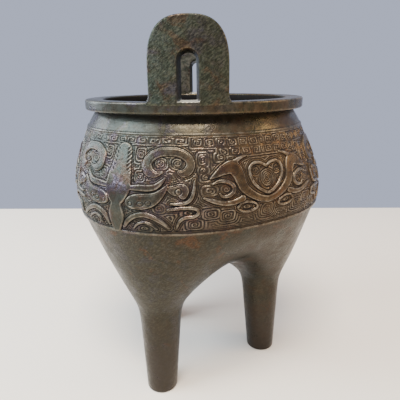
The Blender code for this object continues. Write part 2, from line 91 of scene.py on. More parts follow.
# Slopes of the outside
NECK_SLOPE = -0.55
SHOULDER_SLOPE = -0.38
UNDERCUT_SLOPE = 0.222
LOBE_BELLY = 0.215
VALLEY_BELLY = 0.305
REACH_SLOPES = (0.446, 0.265)
MIDDLE_SLOPES = (-0.050, 0.030)
LEG_SOFTNESS = 0.05

# What follows from them
BAND_BOTTOM = LEG_HEIGHT + LOBE_HEIGHT
BAND_TOP = BAND_BOTTOM + BAND_HEIGHT
NECK_TOP = BAND_TOP + NECK_HEIGHT
RIM_TOP = NECK_TOP + RIM_THICKNESS
EAR_TOP = RIM_TOP + EAR_HEIGHT
RIM_RADIUS = NECK_RADIUS + LIP_OVERHANG
MOUTH_RADIUS = NECK_RADIUS - WALL
SHOULDER_RADIUS = NECK_RADIUS + SHOULDER_FLARE
VALLEY_RADIUS = LOBE_RADIUS - VALLEY_DEPTH
LEG_CIRCLE_RADIUS = FOOT_CIRCLE_RADIUS - LEG_SPLAY
LEG_TAPER = (LEG_TOP_RADIUS - FOOT_RADIUS) / LEG_HEIGHT
CAVITY_FLOOR = BAND_BOTTOM - CAVITY_DEPTH
HALF_LOBE = math.pi / LOBE_COUNT
BAND_RADIUS = (SHOULDER_RADIUS + LOBE_RADIUS) / 2
BAND_CENTRE = np.array((0.0, 0.0, BAND_BOTTOM))
FACING = LEG_AZIMUTH - math.pi / 2
EAR_OUTER = RIM_RADIUS + EAR_PROUD
EAR_INNER = RIM_RADIUS - EAR_THICKNESS
FLANK_REACH = LOBE_RADIUS - LOBE_TUCK - LEDGE_DEPTH
FLANK_VALLEY = VALLEY_RADIUS - VALLEY_TUCK - LEDGE_DEPTH
FLANK_SUM = FLANK_REACH + FLANK_BLEND * math.log(2)
LOBE_OFFSET = (FLANK_SUM ** 2 - FLANK_VALLEY ** 2) / (2 * FLANK_SUM - FLANK_VALLEY)

UPPER_KNOTS = [(NECK_TOP, NECK_RADIUS, NECK_SLOPE), (BAND_TOP, SHOULDER_RADIUS, SHOULDER_SLOPE)]
LOBE_KNOTS = UPPER_KNOTS + [
    (BAND_BOTTOM + LOBE_BELLY * BAND_HEIGHT, LOBE_RADIUS, 0.0),
    (BAND_BOTTOM, LOBE_RADIUS - LOBE_TUCK, UNDERCUT_SLOPE),
]
VALLEY_KNOTS = UPPER_KNOTS + [
    (BAND_BOTTOM + VALLEY_BELLY * BAND_HEIGHT, VALLEY_RADIUS, 0.0),
    (BAND_BOTTOM, VALLEY_RADIUS - VALLEY_TUCK, UNDERCUT_SLOPE),
]

# Sizes that only the visual model has
BEAD_LAP = 0.0001
BEAD_GAP = 0.0004
NECK_CREASE = 0.0010
EAR_SOFTNESS = 0.0010
EAR_FLARE = 0.0016
EAR_FLARE_HEIGHT = 0.0040
EAR_SINK = 0.0012
SINK_START = 0.0010
SINK_END = 0.0040
SLOT_SOFTNESS = 0.0005
SILL_CLEARANCE = 0.00012
# Height over the rim's top up to which the sill takes its painted reflection
SILL_REFLECTION_HEIGHT = 0.0008
LINE_PITCH = 0.00112
LINE_DEPTH = 0.00046
LINE_WOBBLE = 0.00010
STROKE_BEVEL = 0.00055
SPIRAL_EDGE = 0.00025
SPIRAL_CROWDING = 0.8
GROUND_EDGE = 0.00035
FILLET_EDGE = 0.0003
BAND_EDGE = 0.0004
MARK_DEPTH = 0.00050
GROOVE_HALF = 0.00022
FEATHER_PITCH = 0.0019

# Lifts, which tell the bronze where shade and highlights are painted and where it is rubbed: -1 painted
# shade in a crevice, 1 a rubbed edge with a painted highlight, 2 a painted reflection
FULL_LIFT_RISE = 0.00022
# Painted shade inside the bowl and its hollows
HOLLOW_LIFT = -0.5
# Painted shadow on the ledge under the band's foot
LEDGE_LIFTS = (-0.8, -0.3)
# A painted highlight along the fillet at the band's foot
FILLET_LIFT = 0.9
SLOT_SHADE = -0.6
# Painted light on the inner faces of the ears
EAR_INNER_LIGHT = 0.65
# A painted reflection of the light from above on the slot's sill
SILL_REFLECTION = 2.0

# Fineness of the meshes
LOBE_STEPS = 144
SEAM_STEPS = 30
FLANK_STEPS = 44
LEG_STEPS = 18
CAVITY_STEPS = 20
INNER_STEPS = 25
BEAD_ROWS = 9
NECK_ROWS = 12
BAND_COLUMNS = 540
BAND_ROWS = 168
BLUR_ROUNDS = 10
PATH_STEP = 0.0007
EAR_ARCH_STEPS = 72
EAR_SIDE_STEPS = 28
EAR_FOOT_POINTS = 38
SLOT_ARCH_STEPS = 28
SLOT_SIDE_STEPS = 15
SLOT_SILL_POINTS = 10
FACE_STEP = 0.0011
FACE_COLUMNS = 20
FACE_MARGIN = 0.0006
WELD_DISTANCE = 0.00002
HALVINGS = 34

# The strokes of half a mask, as (degrees, share of the band's height, half width as such a share)
STROKES = {
    "ridge": [(0, 0.06, 0.055), (0, 0.19, 0.095), (0, 0.29, 0.070), (0, 0.35, 0.070), (0, 0.43, 0.125),
              (0, 0.51, 0.155), (0, 0.58, 0.150), (0, 0.70, 0.125), (0, 0.82, 0.110)],
    "brow": [(5.5, 0.490, 0.030), (9.5, 0.496, 0.036), (12.8, 0.498, 0.037), (15.6, 0.514, 0.033),
             (17.8, 0.560, 0.025), (19.0, 0.600, 0.012)],
    "horn": [(17.8, 0.652, 0.016), (15.0, 0.634, 0.036), (12.4, 0.662, 0.054), (11.5, 0.730, 0.057),
             (12.9, 0.797, 0.054), (16.0, 0.840, 0.049), (20.0, 0.852, 0.047), (24.5, 0.840, 0.047),
             (27.8, 0.788, 0.048), (28.7, 0.722, 0.048), (27.6, 0.668, 0.048), (25.8, 0.646, 0.040),
             (24.4, 0.655, 0.026)],
    "eye": [(20.6, 0.500, 0.026), (22.8, 0.484, 0.054), (25.6, 0.484, 0.066), (25.8, 0.440, 0.046)],
    "lid": [(30.2, 0.575, 0.012), (29.8, 0.480, 0.021), (28.6, 0.395, 0.022), (26.0, 0.355, 0.021),
            (21.5, 0.350, 0.016)],
    "cheek": [(5.6, 0.342, 0.048), (7.4, 0.352, 0.076), (10.5, 0.360, 0.083), (13.6, 0.377, 0.074),
              (16.3, 0.415, 0.054), (18.6, 0.475, 0.034), (20.2, 0.535, 0.014)],
    "jaw": [(3.4, 0.080, 0.020), (5.2, 0.155, 0.030), (8.0, 0.208, 0.031), (11.5, 0.228, 0.031),
            (15.0, 0.202, 0.030), (18.0, 0.155, 0.027), (20.6, 0.095, 0.018)],
    "chin": [(7.4, 0.075, 0.014), (9.0, 0.125, 0.018), (11.5, 0.145, 0.018), (14.2, 0.125, 0.018),
             (16.2, 0.080, 0.014)],
    "hook": [(20.5, 0.290, 0.018), (24.0, 0.305, 0.021), (28.5, 0.308, 0.021), (31.0, 0.288, 0.021),
             (31.2, 0.245, 0.021), (29.4, 0.215, 0.021), (26.4, 0.205, 0.021), (24.4, 0.165, 0.020),
             (23.4, 0.095, 0.014)],
    "curl": [(36.6, 0.535, 0.012), (39.4, 0.560, 0.022), (42.4, 0.552, 0.024), (44.6, 0.515, 0.025),
             (45.0, 0.460, 0.025), (43.2, 0.415, 0.024), (40.4, 0.408, 0.018), (39.4, 0.440, 0.012)],
    "belly": [(33.4, 0.400, 0.012), (36.5, 0.372, 0.026), (40.5, 0.340, 0.028), (44.5, 0.340, 0.032),
              (48.5, 0.372, 0.036)],
    "body": [(36.0, 0.590, 0.012), (38.5, 0.630, 0.036), (41.5, 0.672, 0.056), (45.0, 0.690, 0.072),
             (47.0, 0.625, 0.068), (48.0, 0.545, 0.058), (49.4, 0.470, 0.052), (52.2, 0.405, 0.045),
             (56.0, 0.350, 0.040), (60.0, 0.325, 0.038)],
    "plume": [(45.5, 0.735, 0.030), (48.6, 0.775, 0.020), (51.6, 0.795, 0.010)],
    "heart": [(60.0, 0.672, 0.018), (57.4, 0.708, 0.019), (54.4, 0.712, 0.020), (52.3, 0.672, 0.020),
              (52.0, 0.610, 0.020), (53.2, 0.525, 0.020), (55.6, 0.455, 0.020), (58.8, 0.405, 0.020),
              (60.0, 0.396, 0.020)],
    "loop": [(46.4, 0.282, 0.016), (48.0, 0.322, 0.016), (51.2, 0.328, 0.016), (54.4, 0.292, 0.016),
             (54.4, 0.250, 0.016), (51.6, 0.224, 0.016), (48.6, 0.230, 0.016), (46.5, 0.264, 0.012)],
}

# The spirals of the ground, as (degrees, share of the band's height, half width, half height in
# millimetres, squareness, sense of turn), in half a mask and on the folds between the masks
SPIRALS = [
    (9.0, 0.605, 2.4, 2.3, 4.0, 1), (16.9, 0.738, 3.8, 3.0, 2.6, 1), (23.6, 0.742, 3.4, 2.7, 2.6, -1),
    (8.2, 0.815, 2.2, 2.6, 4.0, -1), (7.0, 0.115, 1.4, 1.6, 2.0, 1), (11.7, 0.078, 2.6, 1.4, 2.5, -1),
    (28.0, 0.257, 2.9, 1.5, 3.0, 1), (42.0, 0.478, 2.3, 2.0, 2.0, -1), (33.4, 0.770, 3.0, 3.4, 4.0, 1),
    (34.2, 0.600, 2.2, 1.6, 3.0, 1), (35.6, 0.472, 3.4, 2.2, 2.5, 1), (36.0, 0.235, 3.6, 2.4, 4.0, 1),
    (42.5, 0.200, 3.2, 2.6, 4.0, -1), (50.5, 0.277, 3.0, 1.5, 2.5, 1), (30.0, 0.125, 3.4, 2.4, 4.0, -1),
    (54.6, 0.635, 2.6, 2.4, 2.4, 1), (33.6, 0.670, 2.2, 1.6, 3.0, -1), (17.2, 0.300, 2.4, 1.8, 3.0, 1),
    (40.6, 0.790, 3.0, 1.9, 4.0, 1),
]
FOLD_SPIRALS = [(60.0, 0.550, 5.4, 5.6, 2.3, 1), (60.0, 0.210, 3.6, 3.2, 3.0, -1)]

# Rows of square spirals under the band's top, as (first one's degrees, degrees between them, their
# number, share of the band's height, half width, half height, the first one's sense of turn)
SPIRAL_ROWS = [
    (31.4, 4.9, 7, 0.935, 3.55, 2.5, -1),
    (41.9885, 4.9, 5, 0.843, 3.55, 2.3, 1),
    (2.4, 5.6, 5, 0.953, 3.9, 1.75, -1),
]
ROW_SQUARENESS = 9.0

# The rings on a cheek, as (degrees, share of the band's height, stretch sideways)
CHEEK_RINGS = [(6.2, 0.335, 1.0), (10.2, 0.340, 1.5), (13.2, 0.352, 1.3)]


def hermite(start, start_pull, end, end_pull, share):
    """The cubic from start to end that leaves and arrives with these pulls."""
    square, cube = share ** 2, share ** 3
    return (
        (2 * cube - 3 * square + 1) * start
        + (cube - 2 * square + share) * start_pull
        + (3 * square - 2 * cube) * end
        + (cube - square) * end_pull
    )


def ease(low, high, value):
    """0 before low, 1 past high, and a smooth rise between. High may be the lesser of the two."""
    share = np.clip((value - low) / (high - low), 0.0, 1.0)
    return share * share * (3 - 2 * share)


def profile(knots, height):
    """The radius at each height, on the smooth curve through the knots, which run downwards."""
    height = np.asarray(height, dtype=float)
    radius = np.zeros_like(height)
    for index, (upper, lower) in enumerate(zip(knots, knots[1:])):
        fall = lower[0] - upper[0]
        here = (height <= upper[0]) if index else np.ones_like(height, dtype=bool)
        value = hermite(upper[1], upper[2] * fall, lower[1], lower[2] * fall, (height - upper[0]) / fall)
        radius = np.where(here, value, radius)
    return radius


def bowl_radius(angle, height):
    """The radius of the bowl's outside, from a lobe's middle to the valley between two lobes."""
    share = 0.5 + 0.5 * np.cos(LOBE_COUNT * angle)
    return share * profile(LOBE_KNOTS, height) + (1 - share) * profile(VALLEY_KNOTS, height)


def polar(radius, angle, height):
    """Points at a radius and angle round the vessel's axis, with the lobe's middle on +X."""
    return np.stack(np.broadcast_arrays(radius * np.cos(angle), radius * np.sin(angle), height), -1)


def raised_points(angle, height, rise):
    """Points that stand off the bowl's outside by rise, square to its profile."""
    probe = 0.0001
    slope = (bowl_radius(angle, height + probe) - bowl_radius(angle, height - probe)) / (2 * probe)
    length = np.hypot(1, slope)
    return polar(bowl_radius(angle, height) + rise / length, angle, height - rise * slope / length)


# The underside and the hollow, as fields that pass through 0 on the surface


def lobe_circle(height):
    """The middle and the radius of the circle that one leg and lobe follow, at each height."""
    above_leg = (height - LEG_HEIGHT) / LOBE_HEIGHT
    swell = LEG_SOFTNESS * np.log1p(np.exp(np.clip(above_leg / LEG_SOFTNESS, -60, 60)))
    axis = FOOT_CIRCLE_RADIUS - LEG_SPLAY * height / LEG_HEIGHT
    thick = FOOT_RADIUS + LEG_TAPER * height
    band_axis = FOOT_CIRCLE_RADIUS - LEG_SPLAY * BAND_BOTTOM / LEG_HEIGHT
    band_thick = FOOT_RADIUS + LEG_TAPER * BAND_BOTTOM
    leave, arrive = (slope * LOBE_HEIGHT for slope in MIDDLE_SLOPES)
    moved = hermite(0.0, leave, LOBE_OFFSET - band_axis, arrive, swell)
    leave, arrive = (slope * LOBE_HEIGHT for slope in REACH_SLOPES)
    grown = hermite(0.0, leave, FLANK_REACH - band_axis - band_thick, arrive, swell)
    return axis + moved, thick + grown - moved


def underside(points):
    """Below 0 inside the lobes and legs, which blend into one another."""
    middle, radius = lobe_circle(points[..., 2])
    powers = []
    for index in range(LOBE_COUNT):
        turn = 2 * HALF_LOBE * index
        across = points[..., 0] - middle * math.cos(turn)
        along = points[..., 1] - middle * math.sin(turn)
        powers.append((radius - np.hypot(across, along)) / FLANK_BLEND)
    return -FLANK_BLEND * np.logaddexp.reduce(powers, axis=0)


def cavity(points):
    """Below 0 in the hollow, which keeps a wall's thickness from the underside and has a floor."""
    probe = np.array((0.0, 0.0, 0.0005))
    steepness = (underside(points + probe) - underside(points - probe)) / (2 * probe[2])
    wall = underside(points) / np.hypot(1, steepness) + WALL
    floor = CAVITY_FLOOR - points[..., 2]
    return CAVITY_ROUND * np.logaddexp(wall / CAVITY_ROUND, floor / CAVITY_ROUND)


def crossing(field, inside, outside):
    """The points between two sets of others where a field passes through 0."""
    inside, outside = (np.array(side, dtype=float) for side in np.broadcast_arrays(inside, outside))
    for _ in range(HALVINGS):
        middle = (inside + outside) / 2
        within = (field(middle) < 0)[..., None]
        inside, outside = np.where(within, middle, inside), np.where(within, outside, middle)
    return (inside + outside) / 2


def surface_lines(field, start, end, steps):
    """Rows of points on a surface, from each start to its end."""
    run = end - start
    reach = np.hypot(run[:, 0], run[:, 1])[:, None]
    flat = run * (1, 1, 0) / np.maximum(reach, 1e-9)
    square = (flat * run[:, 2:] - np.array((0, 0, 1)) * reach) / 2
    rows = [start]
    for index in range(1, steps):
        middle = start + run * index / steps
        rows.append(crossing(field, middle - square, middle + square))
    return rows + [end]


def ring_angles():
    """Angles across one lobe, from valley to valley."""
    return HALF_LOBE * (2 * np.arange(LOBE_STEPS + 1) / LOBE_STEPS - 1)


def rim_line(field):
    """One lobe's line on a surface at the height of the band's foot."""
    return crossing(field, BAND_CENTRE, polar(2 * LOBE_RADIUS, ring_angles(), BAND_BOTTOM))


def lobe_edge(field):
    """The closed edge of one lobe: round the band's foot, then in and out along its two seams."""
    edge = rim_line(field)
    low = crossing(field, BAND_CENTRE, np.zeros(3))
    seam = np.array([row[0] for row in surface_lines(field, edge[-1:], low[None], SEAM_STEPS)])
    back = seam[-2:0:-1] * (1, -1, 1)
    return np.concatenate([edge, seam[1:], back])


# Meshes


def turned(points, angle):
    """The points turned about the vessel's axis."""
    cosine, sine = math.cos(angle), math.sin(angle)
    x, y = points[..., 0], points[..., 1]
    return np.stack([cosine * x - sine * y, sine * x + cosine * y, points[..., 2]], -1)


class Shell:
    """Points, faces and a lift for each point, gathered before they become one piece."""

    def __init__(self):
        self.points = []
        self.faces = []
        self.lifts = []
        self.count = 0

    def add(self, points, faces, lifts):
        """Adds points, the faces between them, and a lift for each point or one for all."""
        self.points.append(points)
        self.faces.append(faces + self.count)
        self.lifts.append(np.broadcast_to(lifts, len(points)))
        self.count += len(points)

    def grid(self, rows, lifts, closed=False, flip=False):
        """Adds rows of points with faces between them, each row closed to a ring or left open."""
        rows = np.asarray(rows, dtype=float)
        high, wide = rows.shape[:2]
        index = np.arange(high * wide).reshape(high, wide)
        following = np.roll(index, -1, axis=1) if closed else index[:, 1:]
        here = index if closed else index[:, :-1]
        corners = [here[:-1], following[:-1], following[1:], here[1:]]
        if flip:
            corners = corners[::-1]
        lifts = np.broadcast_to(lifts, (high, wide)).reshape(-1)
        self.add(rows.reshape(-1, 3), np.stack(corners, -1).reshape(-1, 4), lifts)

    def piece(self, name, material, merge=0.0):
        """The shell as an object that stands for the solid and rides with it."""
        points = np.concatenate(self.points) + (*CENTRE, 0.0)
        data = bpy.data.meshes.new(name)
        faces = [face for block in self.faces for face in block.tolist()]
        data.from_pydata(points.tolist(), [], faces)
        lift = data.attributes.new("lift", "FLOAT", "POINT")
        lift.data.foreach_set("value", np.concatenate(self.lifts).astype(np.float32))
        data.materials.append(material)
        if merge:
            weld(data, merge)
        data.shade_smooth()
        body = bpy.data.objects.new(name, data)
        bpy.context.collection.objects.link(body)
        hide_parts("ding_vessel")
        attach(body, "root")
        return body


def weld(data, distance):
    """Joins points that lie closer than a distance, and turns all faces outwards."""
    mesh = bmesh.new()
    mesh.from_mesh(data)
    bmesh.ops.remove_doubles(mesh, verts=mesh.verts, dist=distance)
    bmesh.ops.recalc_face_normals(mesh, faces=mesh.faces)
    mesh.to_mesh(data)
    mesh.free()


def whole_ring():
    """Angles all the way round, valley to valley, in steps that match each lobe's."""
    count = LOBE_STEPS * LOBE_COUNT
    return -HALF_LOBE + 2 * math.pi * np.arange(count) / count


def rounded(corner, toward_before, toward_after):
    """Points (radius, height) round a corner of the rim's section, from one side to the other."""
    before = np.array(toward_before) * RIM_EDGE_ROUND
    after = np.array(toward_after) * RIM_EDGE_ROUND
    middle = np.array(corner) + before + after
    turns = np.linspace(0, math.pi / 2, 5)
    return [middle - after * math.cos(turn) - before * math.sin(turn) for turn in turns]


def bead_and_neck(angles):
    """Rows of points from the band's top to the rim's underside, and a lift for each row."""
    rows, lifts = [], []
    for share in np.linspace(0, 1, BEAD_ROWS):
        rise = BEAD_RISE * math.sqrt(math.sin(math.pi * (0.02 + 0.86 * share)))
        height = BAND_TOP - BEAD_LAP + share * (BEAD_WIDTH + 2 * BEAD_LAP)
        rows.append(raised_points(angles, height, rise if share < 1 else 0.0))
        # The bead's crest is rubbed and painted bright, its sides painted in a little shade
        lifts.append(0.8 * rise / BEAD_RISE - 0.2)
    foot = BAND_TOP + BEAD_WIDTH + BEAD_GAP
    for share in np.linspace(0, 1, NECK_ROWS):
        height = foot + share * (NECK_TOP - NECK_CREASE - foot)
        rows.append(polar(bowl_radius(angles, height), angles, height))
        # Painted shade in the groove over the bead and under the rim's lip
        lifts.append(-0.35 if share == 0 else -0.4 * float(ease(0.45, 1.0, share)))
    return rows, lifts


def rim_section():
    """The rim's section as (radius, height, lift), from the neck over the edge into the mouth."""
    crease = [(NECK_RADIUS + NECK_CREASE * out, NECK_TOP - NECK_CREASE * down)
              for out, down in ((0.3, 0.3), (1, 0), (4, 0))]
    edge = [(RIM_RADIUS, NECK_TOP + RIM_THICKNESS * share) for share in (0.3, 0.5, 0.7)]
    top = [(RIM_RADIUS - LIP_OVERHANG * share, RIM_TOP) for share in (0.3, 0.6, 0.9, 1.2)]
    # The lifts paint shade into the crease under the rim and down into the mouth, and rubbing with
    # painted highlights on the rim's rounded edges
    stretches = [
        (crease, (-0.6, -0.7, -0.4)),
        (rounded((RIM_RADIUS, NECK_TOP), (-1, 0), (0, 1)), (-0.2, 0.0, 0.0, 0.0, 0.0)),
        (edge, (0.0, 0.0, 0.0)),
        (rounded((RIM_RADIUS, RIM_TOP), (0, -1), (-1, 0)), (0.3, 0.5, 0.7, 0.5, 0.3)),
        (top, (0.0, 0.0, 0.0, 0.0)),
        (rounded((MOUTH_RADIUS, RIM_TOP), (1, 0), (0, -1)), (0.2, 0.3, 0.3, -0.3, -0.8)),
        ([(MOUTH_RADIUS, RIM_TOP - 2 * RIM_EDGE_ROUND)], (-1.0,)),
    ]
    return [(*place, lift) for places, lifts in stretches for place, lift in zip(places, lifts)]


def neck_and_rim(material):
    """The bead, neck, rim and inside of the bowl."""
    angles = whole_ring()
    rows, lifts = bead_and_neck(angles)
    for radius, height, lift in rim_section():
        rows.append(polar(radius, angles, height))
        lifts.append(lift)
    # The inside of the bowl is painted in shade, darkest just under the mouth
    for height in np.linspace(NECK_TOP, BAND_BOTTOM, INNER_STEPS + 1)[:-1]:
        rows.append(polar(bowl_radius(angles, height) - WALL, angles, height))
        lifts.append(HOLLOW_LIFT * (1 + float(ease(BAND_BOTTOM, BAND_TOP, height))))
    lobe = rim_line(cavity)[:-1]
    rows.append(np.concatenate([turned(lobe, 2 * HALF_LOBE * turn) for turn in range(LOBE_COUNT)]))
    lifts.append(HOLLOW_LIFT)
    shell = Shell()
    shell.grid([turned(row, FACING) for row in rows], np.array(lifts)[:, None], closed=True, flip=True)
    over_leg = np.array((LEG_CIRCLE_RADIUS, 0.0, BAND_BOTTOM))
    pole = crossing(cavity, over_leg, over_leg * (1, 1, 0))
    edge = lobe_edge(cavity)
    lines = surface_lines(cavity, edge, np.broadcast_to(pole, edge.shape), CAVITY_STEPS)
    # The hollow under each lobe is painted in shade as well
    for turn in range(LOBE_COUNT):
        hollow = [turned(line, FACING + 2 * HALF_LOBE * turn) for line in lines]
        shell.grid(hollow, HOLLOW_LIFT, closed=True, flip=True)
    return shell.piece("neck_rim_and_hollow", material, WELD_DISTANCE)


def flanks_and_legs(material):
    """The underside of the bowl, drawn in to its three legs, and their flat feet."""
    edge = lobe_edge(underside)
    turns = np.arctan2(edge[:, 1], edge[:, 0] - LEG_CIRCLE_RADIUS)
    outward = np.stack([np.cos(turns), np.sin(turns), np.zeros_like(turns)], -1)

    def leg_ring(height, draw_in=0.0):
        middle = np.array((FOOT_CIRCLE_RADIUS - LEG_SPLAY * height / LEG_HEIGHT, 0.0, height))
        return crossing(underside, middle, middle + outward * 2 * LEG_TOP_RADIUS) - outward * draw_in

    rows = surface_lines(underside, edge, leg_ring(LEG_HEIGHT), FLANK_STEPS)
    for height in np.linspace(LEG_HEIGHT, FOOT_ROUND, LEG_STEPS)[1:-1]:
        rows.append(leg_ring(height))
    for turn in np.linspace(0, math.pi / 2, 5):
        rows.append(leg_ring(FOOT_ROUND * (1 - math.sin(turn)), FOOT_ROUND * (1 - math.cos(turn))))
    centre = np.array((FOOT_CIRCLE_RADIUS, 0.0, 0.0))
    rows += [centre + (rows[-1] - centre) * share for share in (0.5, 0.01)]
    shell = Shell()
    for turn in range(LOBE_COUNT):
        shell.grid([turned(row, FACING + 2 * HALF_LOBE * turn) for row in rows], 0.0, closed=True)
    return shell.piece("flanks_and_legs", material, WELD_DISTANCE)


# The band's relief. Its x runs round the band from a mask's middle, its y up from the band's foot.


def band_length(degrees):
    """The way round the band that an angle covers."""
    return math.radians(degrees) * BAND_RADIUS


def smooth_path(knots):
    """Points with half widths along a smooth curve through the knots, about PATH_STEP apart."""
    padded = [2 * knots[0] - knots[1]] + knots + [2 * knots[-1] - knots[-2]]
    path = []
    for before, start, end, after in zip(padded, padded[1:], padded[2:], padded[3:]):
        count = max(1, round(float(np.hypot(*(end - start)[:2])) / PATH_STEP))
        for index in range(count):
            path.append(hermite(start, (end - before) / 2, end, (after - start) / 2, index / count))
    return np.array(path + [knots[-1]])


def stroke_inside(x, y, name):
    """How deep each place lies inside a stroke, below 0 outside it."""
    knots = [np.array((band_length(degrees), share * BAND_HEIGHT, half * BAND_HEIGHT))
             for degrees, share, half in STROKES[name]]
    best = np.full_like(x, -1.0)
    path = smooth_path(knots)
    for start, end in zip(path, path[1:]):
        run = end[:2] - start[:2]
        along = ((x - start[0]) * run[0] + (y - start[1]) * run[1]) / float(run @ run)
        along = np.clip(along, 0, 1)
        half = start[2] + along * (end[2] - start[2])
        gap = np.hypot(x - start[0] - along * run[0], y - start[1] - along * run[1])
        best = np.maximum(best, half - gap)
    return best


def waves(x, y, scale, seed):
    """Smooth, even noise between about -1 and 1, from a few crossed waves."""
    steps = np.random.default_rng(seed)
    total = np.zeros_like(x)
    for _ in range(9):
        turn, phase = steps.uniform(0, 2 * math.pi, 2)
        rate = 2 * math.pi / scale * steps.uniform(0.6, 1.5)
        total += np.sin(rate * (x * math.cos(turn) + y * math.sin(turn)) + phase)
    return total / 4.0


def blurred(field, count):
    """The field with every value drawn towards its neighbours, a number of times over."""
    for _ in range(count):
        for axis, size in enumerate(field.shape):
            places = np.arange(size)
            ahead = field.take(np.minimum(places + 1, size - 1), axis)
            behind = field.take(np.maximum(places - 1, 0), axis)
            field = (2 * field + ahead + behind) / 4
    return field


def line_rise(distance):
    """Raised lines one pitch apart, with a groove along distance 0."""
    wave = 0.5 - 0.5 * np.cos(2 * math.pi * distance / LINE_PITCH)
    return ease(0.18, 0.78, wave)


def ground_spirals(x):
    """Every spiral of the ground, as how far to its side each place lies, and its other values."""
    folded = np.abs(x)
    spirals = [(folded - band_length(degrees), *rest) for degrees, *rest in SPIRALS]
    for degrees, *rest in FOLD_SPIRALS:
        spirals.append((x - np.where(x > 0, 1, -1) * band_length(degrees), *rest))
    for first, step, count, share, wide, high, sense in SPIRAL_ROWS:
        for index in range(count):
            away = folded - band_length(first + step * index)
            spirals.append((away, share, wide, high, ROW_SQUARENESS, sense * (-1) ** index))
    return spirals


def ground_rise(x, y, stroke, wobble):
    """The ground from 0 to 1: its spirals, and lines between them that follow every edge.

    The first spiral to fill a place keeps it. Reach is 1 on a spiral's edge and 0 in its middle.
    """
    outside = np.minimum(np.minimum(-stroke, BAND_HEIGHT - y), y - FILLET_WIDTH)
    gap = outside
    spiral_rise = np.zeros_like(x)
    spiral_mask = np.zeros_like(x)
    for away, share, wide, high, power, sense in ground_spirals(x):
        wide, high = wide / 1000, high / 1000
        up = y - share * BAND_HEIGHT
        least = min(wide, high)
        reach = ((np.abs(away) / wide) ** power + (np.abs(up) / high) ** power + 1e-12) ** (1 / power)
        depth = (1 - reach) * least
        turn = np.arctan2(up / high, away / wide)
        spiral = line_rise(reach * least + wobble + sense * LINE_PITCH * turn / (2 * math.pi))
        inside = ease(0.0, SPIRAL_EDGE, depth) * (spiral_mask < 0.5)
        spiral_rise = np.where(inside > 0, spiral, spiral_rise)
        spiral_mask = np.maximum(spiral_mask, inside)
        gap = np.where(depth < 0, np.minimum(gap, -depth * SPIRAL_CROWDING), gap)
    lines = line_rise(np.maximum(gap, 0) + wobble)
    ground = np.where(spiral_mask > 0, spiral_mask * spiral_rise, lines)
    return ground * ease(0, GROUND_EDGE, outside)


def marks(insides, x, y):
    """The depth of the cuts in the strokes' tops: fine lines, rings, the pupil, feathers, a dent."""

    def groove(field, at, half=GROOVE_HALF):
        return np.exp(-((field - at) / half) ** 2)

    def away_from(degrees, share, wide=1.0, high=1.0):
        return np.hypot((x - band_length(degrees)) / wide, (y - share * BAND_HEIGHT) / high)

    slant = (x - y) / math.sqrt(2)
    feathers = ease(0.1, 0.8, 0.5 + 0.5 * np.cos(2 * math.pi * slant / FEATHER_PITCH))
    feathers *= ease(0.0002, 0.0005, insides["ridge"]) * ease(0.0032, 0.0024, insides["ridge"])
    feathers *= (x > band_length(2.1)) * ease(0.62, 0.66, y / BAND_HEIGHT)
    cuts = [
        0.60 * groove(insides["eye"], 0.0011) * ease(0.0, 0.0006, insides["eye"]),
        1.30 * groove(away_from(24.2, 0.470), 0.0018, 0.00035),
        0.55 * groove(insides["cheek"], 0.0012) * (x > band_length(8.5)),
        0.50 * groove(insides["body"], 0.0012) * (x > band_length(40)),
        0.60 * groove(insides["horn"], 0.0010),
        0.70 * feathers,
        0.30 * ease(0.0016, 0.0006, away_from(1.6, 0.56, high=1.91)),
    ]
    for degrees, share, wide in CHEEK_RINGS:
        cuts.append(0.90 * groove(away_from(degrees, share, wide), 0.0013, 0.0003))
    return MARK_DEPTH * np.max(cuts, axis=0)


def band_relief(x, y):
    """The rise over the band at each place."""
    folded = np.abs(x)
    insides = {name: stroke_inside(folded, y, name) for name in STROKES}
    stroke = np.max(list(insides.values()), axis=0)
    wobble = LINE_WOBBLE * waves(folded, y, 0.009, 3)
    depth = LINE_DEPTH * np.clip(0.82 + 0.18 * waves(x, y, 0.021, 5), 0.45, 1.1)
    ground = depth * ground_rise(x, y, stroke, wobble)
    top = RELIEF_RISE * (1 + 0.06 * waves(x, y, 0.017, 8)) - marks(insides, folded, y)
    raised = ease(-0.00005, STROKE_BEVEL, stroke)
    rise = ground * (1 - raised) + top * raised
    fillet = FILLET_RISE * ease(-FILLET_EDGE, FILLET_EDGE, FILLET_WIDTH - y)
    return np.maximum(rise, fillet) * ease(0, BAND_EDGE, BAND_HEIGHT - y)


def mask_band(index, material):
    """One lobe's band, from valley to valley."""
    half = HALF_LOBE * BAND_RADIUS
    across = np.linspace(-half, half, BAND_COLUMNS + 1)
    x, y = np.meshgrid(across, np.linspace(0, BAND_HEIGHT, BAND_ROWS + 1))
    rise = band_relief(x, y)
    # Ridges of the relief get rubbing with painted highlights and its grooves painted shade, by how far
    # the rise stands above its blurred self
    lift = np.clip((rise - blurred(rise, BLUR_ROUNDS)) / FULL_LIFT_RISE, -1, 1)
    # The fillet at the band's foot gets a painted highlight
    lift = np.where((y > 0.3 * FILLET_WIDTH) & (y < FILLET_WIDTH), FILLET_LIFT, lift)
    rows = raised_points(x / BAND_RADIUS, BAND_BOTTOM + y, rise)
    ledge = rim_line(underside)
    angles = across / BAND_RADIUS
    foot = np.stack([np.interp(angles, ring_angles(), ledge[:, axis]) for axis in range(3)], -1)
    rows = np.concatenate([foot[None], (rows[:1] + foot) / 2, rows])
    # The ledge under the band's foot is painted in shadow
    lift = np.concatenate([np.full_like(lift[:1], value) for value in LEDGE_LIFTS] + [lift])
    shell = Shell()
    shell.grid(turned(rows, FACING + 2 * HALF_LOBE * index), lift)
    return shell.piece(f"mask_band_{index + 1}", material)


# The ears


def closed_outline(side, arch, half, foot, count):
    """An outline that is its own mirror image: right side, arch, left side, and its foot."""
    across = np.linspace(-half, half, count + 2)[1:-1]
    base = np.stack([across, np.full(count, foot)], -1)
    return np.concatenate([side, arch, side[::-1] * (-1, 1), base])


